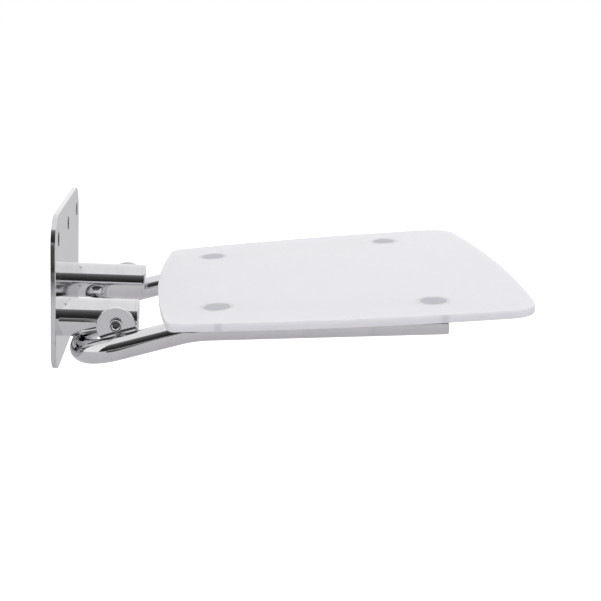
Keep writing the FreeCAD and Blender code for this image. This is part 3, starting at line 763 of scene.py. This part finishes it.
satin_steel = satin_turned("satin_steel", (0.53, 0.53, 0.585))
insert_steel = satin_turned("insert_steel", (0.52, 0.52, 0.53))
saddle_nylon = moulded_nylon("saddle_nylon", (0.78, 0.78, 0.77))
SADDLE_R = 0.011
SADDLE_DROP = TUBE_R - math.sqrt(TUBE_R ** 2 - SADDLE_R ** 2)
for row, depth in STUDS.items():
    for side_name, side in (("left", -1), ("right", 1)):
        spot = rail_place(side, depth)
        stud = turned(f"stud_{row}_{side_name}", [
            (0.0035, -0.0239), (0.004, -0.0233), (0.004, -HEAD_THICK), (0.0118, -HEAD_THICK),
            (HEAD_R, -0.0023), (HEAD_R, -0.0003), (0.01193, -0.0001), (0.0117, 0)], 128)
        stand(stud, spot + seat_up * PANEL_TOP, seat_up)
        smooth(stud)
        fit(stud, "folding_seat", f"seat_stud_{row}_{side_name}", satin_steel)
        saddle = turned(f"saddle_{row}_{side_name}", [
            (0.00405, -SADDLE_CREST - SADDLE_DROP), (SADDLE_R, -SADDLE_CREST - SADDLE_DROP),
            (SADDLE_R, -0.0003), (SADDLE_R - 0.0003, 0), (0.00605, 0),
            (0.00605, SEAT_THICK - HEAD_THICK), (0.00405, SEAT_THICK - HEAD_THICK)],
            96, hollow=True)
        stand(saddle, spot + seat_up * (TUBE_R + SADDLE_CREST), seat_up)
        way = Vector((side * rail_way.x, rail_way.y, rail_way.z))
        bed = turned("bed_tool", [(TUBE_R, -0.03), (TUBE_R, 0.03)], 96)
        cut_away(saddle, stand(bed, spot, way))
        smooth(saddle)
        fit(saddle, "folding_seat", f"seat_saddle_{row}_{side_name}", saddle_nylon)
        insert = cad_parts[f"rail_insert_{row}_{side_name}"]
        insert.data.materials.clear()
        insert.data.materials.append(insert_steel)

# Studio. The seat hangs in the middle of a white room at its working height over a pale floor.
# A dark screen beside the camera gives the polished tubes one dark line along their length,
# a lower one darkens the wall plate's edge, and two narrow ones serve a view from the front or
# from behind.
FLOOR_Z = -0.46
clear()
bpy.ops.mesh.primitive_plane_add(size=60, location=(0, 0, FLOOR_Z))
floor = added("floor_pale")
floor_paint = bpy.data.materials.new("floor_paint")
floor_paint.use_nodes = True
floor_tree = floor_paint.node_tree
floor_shader = floor_tree.nodes["Principled BSDF"]
# Painted shadow: the floor's colour is a little darker within a metre of the middle, below the
# seat.
spot = wire(floor_tree, "ShaderNodeVectorMath", [("operation", "LENGTH")],
            _0=place_of(floor_tree))
pale = wire(floor_tree, "ShaderNodeValToRGB", _0=blend_numbers(
    floor_tree, spot.outputs["Value"], 0.0, 0.25))
pale.color_ramp.elements[0].position = 0.2
pale.color_ramp.elements[0].color = (0.63, 0.62, 0.635, 1)
pale.color_ramp.elements[1].position = 0.75
pale.color_ramp.elements[1].color = (0.74, 0.74, 0.745, 1)
floor_tree.links.new(pale.outputs[0], floor_shader.inputs["Base Color"])
floor_shader.inputs["Roughness"].default_value = 0.9
floor_shader.inputs["Specular IOR Level"].default_value = 0.1
floor_shader.inputs["Emission Color"].default_value = (1, 1, 1, 1)
seen = wire(floor_tree, "ShaderNodeLightPath")
floor_tree.links.new(blend_numbers(floor_tree, seen.outputs["Is Camera Ray"], 0.0, 0.8),
                     floor_shader.inputs["Emission Strength"])
floor.data.materials.append(floor_paint)

screen_cloth_painted_glow = bpy.data.materials.new("screen_cloth_painted_glow")
screen_cloth_painted_glow.use_nodes = True
cloth_tree = screen_cloth_painted_glow.node_tree
cloth_shader = cloth_tree.nodes["Principled BSDF"]
cloth_shader.inputs["Base Color"].default_value = (0.0, 0.0, 0.0, 1)
cloth_shader.inputs["Roughness"].default_value = 1.0
cloth_shader.inputs["Specular IOR Level"].default_value = 0.0
# Painted light: the dark cloth glows, more strongly towards its top.
lift = wire(cloth_tree, "ShaderNodeSeparateXYZ", _0=place_of(cloth_tree))
glow = wire(cloth_tree, "ShaderNodeValToRGB", _0=lift.outputs[2])
ramp = glow.color_ramp
ramp.elements[0].color = (0.03, 0.03, 0.03, 1)
ramp.elements[1].color = (0.75, 0.75, 0.75, 1)
for position, level in ((0.12, 0.015), (0.30, 0.035), (0.55, 0.09), (0.80, 0.17),
                        (0.95, 0.32)):
    stop = ramp.elements.new(position)
    stop.color = (level, level, level, 1)
cloth_tree.links.new(glow.outputs[0], cloth_shader.inputs["Emission Color"])
cloth_shader.inputs["Emission Strength"].default_value = 1.0


def hang_screen(name, middle, turn, width, low, high):
    """A dark cloth screen at a place on the floor plan, turned to face the seat, with a painted
    glow that grows towards its top. It shows in reflections only."""
    clear()
    bpy.ops.mesh.primitive_plane_add(size=1, location=(0, 0, 0.5),
                                     rotation=(math.pi / 2, 0, 0))
    screen = added(name)
    settle(screen)
    screen.location = (middle[0], middle[1], low)
    screen.rotation_euler = (0, 0, turn)
    screen.scale = (width, 1, high - low)
    screen.data.materials.append(screen_cloth_painted_glow)
    screen.visible_camera = False
    screen.visible_diffuse = False
    screen.visible_shadow = False
    screen.visible_transmission = False
    return screen


hang_screen("screen_side", (-2.6, 0.5), math.pi / 2, 4.6, -0.02, 4.3)
hang_screen("screen_low", (-1.9, 0.5), math.pi / 2, 0.8, -0.72, 0.2)
hang_screen("screen_front", (0.0, -3.2), 0.0, 1.2, 0.0, 2.6)
hang_screen("screen_back", (2.4, 2.4), -math.pi / 4, 1.0, 0.0, 2.4)

room = bpy.data.worlds.new("white_room")
bpy.context.scene.world = room
room.use_nodes = True
sky = room.node_tree
way_up = wire(sky, "ShaderNodeSeparateXYZ", _0=wire(sky, "ShaderNodeTexCoord").outputs[0])
walls = wire(sky, "ShaderNodeValToRGB", _0=way_up.outputs[2])
walls.color_ramp.elements[0].position = 0.35
walls.color_ramp.elements[0].color = (1, 1, 1, 1)
walls.color_ramp.elements[1].position = 0.95
walls.color_ramp.elements[1].color = (0.90, 0.90, 0.91, 1)
sky.links.new(walls.outputs[0], sky.nodes["Background"].inputs["Color"])
sky.nodes["Background"].inputs["Strength"].default_value = 1.0

clear()
bpy.ops.object.light_add(type="AREA", location=(-0.5, -0.9, 2.8))
softbox = bpy.context.active_object
softbox.name = "softbox_over"
softbox.data.shape = "RECTANGLE"
softbox.data.size = 0.9
softbox.data.size_y = 1.4
softbox.data.energy = 2.0
softbox.visible_glossy = False
softbox.rotation_euler = (Vector((0, -0.2, 0)) - softbox.location).to_track_quat(
    "-Z", "Y").to_euler()

clear()
bpy.ops.object.camera_add(location=(-1.1334, -0.1308, 0.2789),
                          rotation=(math.radians(75.1473), math.radians(-3.336),
                                    math.radians(-95.6119)))
camera = bpy.context.active_object
camera.name = "camera"
camera.data.lens = 63.31
camera.data.sensor_width = 36.0
camera.data.clip_start = 0.01
bpy.context.scene.camera = camera
bpy.context.scene.view_settings.view_transform = "Standard"

bpy.context.view_layer.update()
